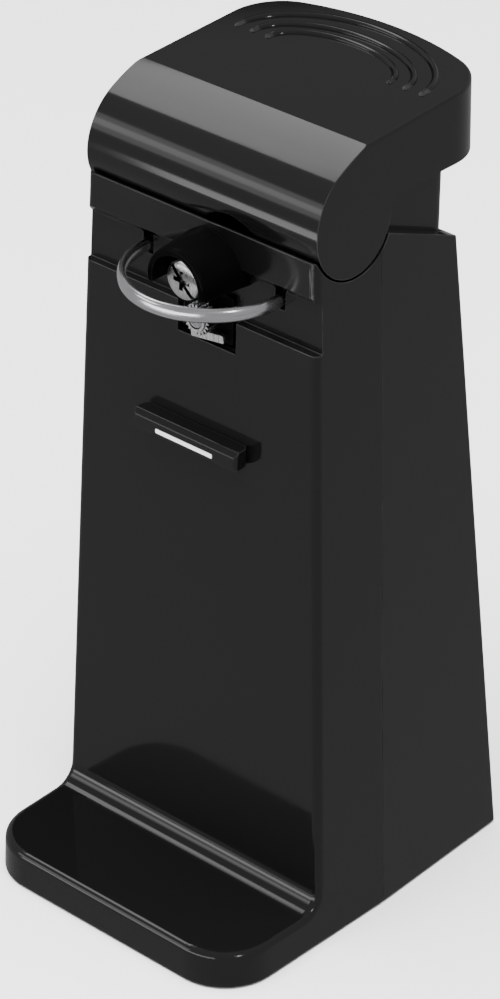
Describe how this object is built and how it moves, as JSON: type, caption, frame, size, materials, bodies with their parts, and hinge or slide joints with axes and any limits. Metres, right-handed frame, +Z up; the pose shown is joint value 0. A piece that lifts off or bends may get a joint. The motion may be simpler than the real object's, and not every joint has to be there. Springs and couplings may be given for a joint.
{
  "type": "electric can opener",
  "caption": "Upright electric can opener: a tall drafted casing on a broad front foot, with a press-down top lever, a hooded cutter, a feed wheel and a swinging steel lid bail.",
  "frame": {"origin": "middle of the footprint, on the surface it stands on", "axes": "+Z up, front of the opener towards -Y, +X to the right seen from the front"},
  "size_m": [0.099, 0.1176, 0.2413],
  "materials": {
    "gloss_black": "glossy injection-moulded black",
    "hood_black": "satin black moulding",
    "base_black": "matte black moulding",
    "rubber": "soft matte",
    "zinc_screw": "zinc plated",
    "inlay_silver": "satin silver strip",
    "steel_plate": "cold-rolled sheet",
    "steel_pin": "ground pins and shafts",
    "cutter_steel": "hardened, satin",
    "polished_steel": "polished and lightly brushed",
    "die_cast_metal": "die casting",
    "bronze": "sintered bronze",
    "gear_nylon": "natural nylon",
    "lamination_steel": "stacked laminations",
    "coil_copper": "enamelled wire",
    "switch_plastic": "moulded switch case"
  },
  "bodies": {
    "root": {"front_housing": "gloss_black", "rear_housing": "gloss_black", "neck_frame": "gloss_black", "base_plate": "base_black", "rubber_feet": "rubber", "base_screws": "zinc_screw", "housing_screws": "zinc_screw", "cord_grommet": "base_black", "can_rest": "gloss_black", "can_rest_inlay": "inlay_silver", "rim_guide": "hood_black", "guide_tab": "cutter_steel", "cutter_hood": "hood_black", "lever_pin": "steel_pin", "bail_pins": "steel_pin", "lay_shafts": "steel_pin", "gear_plate_front": "steel_plate", "gear_plate_rear": "steel_plate", "frame_pillars": "steel_pin", "frame_screws": "zinc_screw", "shaft_bushes": "bronze", "motor_stator": "lamination_steel", "motor_coil": "coil_copper", "motor_bridge": "steel_plate", "motor_spacers": "steel_pin", "motor_bolts": "zinc_screw", "motor_bush": "bronze", "switch_body": "switch_plastic"},
    "lever": {"lever_shell": "gloss_black", "lever_crank": "steel_plate", "crank_screw": "zinc_screw", "crank_pin": "steel_pin"},
    "cutter_slide": {"cutter_slide": "die_cast_metal", "cutter_screw": "cutter_steel"},
    "cutter_wheel": {"cutter_wheel": "cutter_steel"},
    "lid_bail": {"lid_bail": "polished_steel"},
    "feed_train": {"feed_wheel": "cutter_steel", "feed_shaft": "steel_pin", "drive_gear": "gear_nylon"},
    "second_gear": {"second_gear": "gear_nylon"},
    "first_gear": {"first_gear": "gear_nylon"},
    "rotor": {"rotor": "lamination_steel", "motor_shaft": "steel_pin", "motor_pinion": "gear_nylon"},
    "switch_plunger": {"switch_plunger": "switch_plastic"}
  },
  "joints": [
    {"name": "lever_pivot", "type": "hinge", "parent": "root", "child": "lever", "pos_m": [0, -0.00479, 0.2174], "axis": [-1, 0, 0], "range_deg": [0, 22]},
    {"name": "cutter_lift", "type": "slide", "parent": "root", "child": "cutter_slide", "axis": [0, 0, -1], "range_m": [0, 0.0043]},
    {"name": "cutter_spin", "type": "hinge", "parent": "cutter_slide", "child": "cutter_wheel", "pos_m": [0.00365, -0.0262, 0.1979], "axis": [0, 1, 0], "continuous": true},
    {"name": "bail_swing", "type": "hinge", "parent": "root", "child": "lid_bail", "pos_m": [0.0031, -0.0129, 0.1954], "axis": [-1, 0, 0], "range_deg": [0, 18]},
    {"name": "motor_spin", "type": "hinge", "parent": "root", "child": "rotor", "pos_m": [0.00365, 0.028, 0.1364], "axis": [0, 1, 0], "continuous": true},
    {"name": "first_gear_spin", "type": "hinge", "parent": "root", "child": "first_gear", "pos_m": [0.00365, 0, 0.1502], "axis": [0, 1, 0], "continuous": true},
    {"name": "second_gear_spin", "type": "hinge", "parent": "root", "child": "second_gear", "pos_m": [0.00365, 0, 0.1658], "axis": [0, 1, 0], "continuous": true},
    {"name": "feed_spin", "type": "hinge", "parent": "root", "child": "feed_train", "pos_m": [0.00365, 0, 0.1842], "axis": [0, 1, 0], "continuous": true},
    {"name": "switch_press", "type": "slide", "parent": "root", "child": "switch_plunger", "axis": [0, 0, -1], "range_m": [0, 0.0023]}
  ],
  "couplings": [
    {"joint": "cutter_lift", "follows": "lever_pivot", "m_per_rad": 0.010933},
    {"joint": "switch_press", "follows": "lever_pivot", "m_per_rad": 0.0057296},
    {"joint": "first_gear_spin", "follows": "motor_spin", "ratio": -0.27778},
    {"joint": "second_gear_spin", "follows": "motor_spin", "ratio": 0.083333},
    {"joint": "feed_spin", "follows": "motor_spin", "ratio": -0.023148}
  ]
}
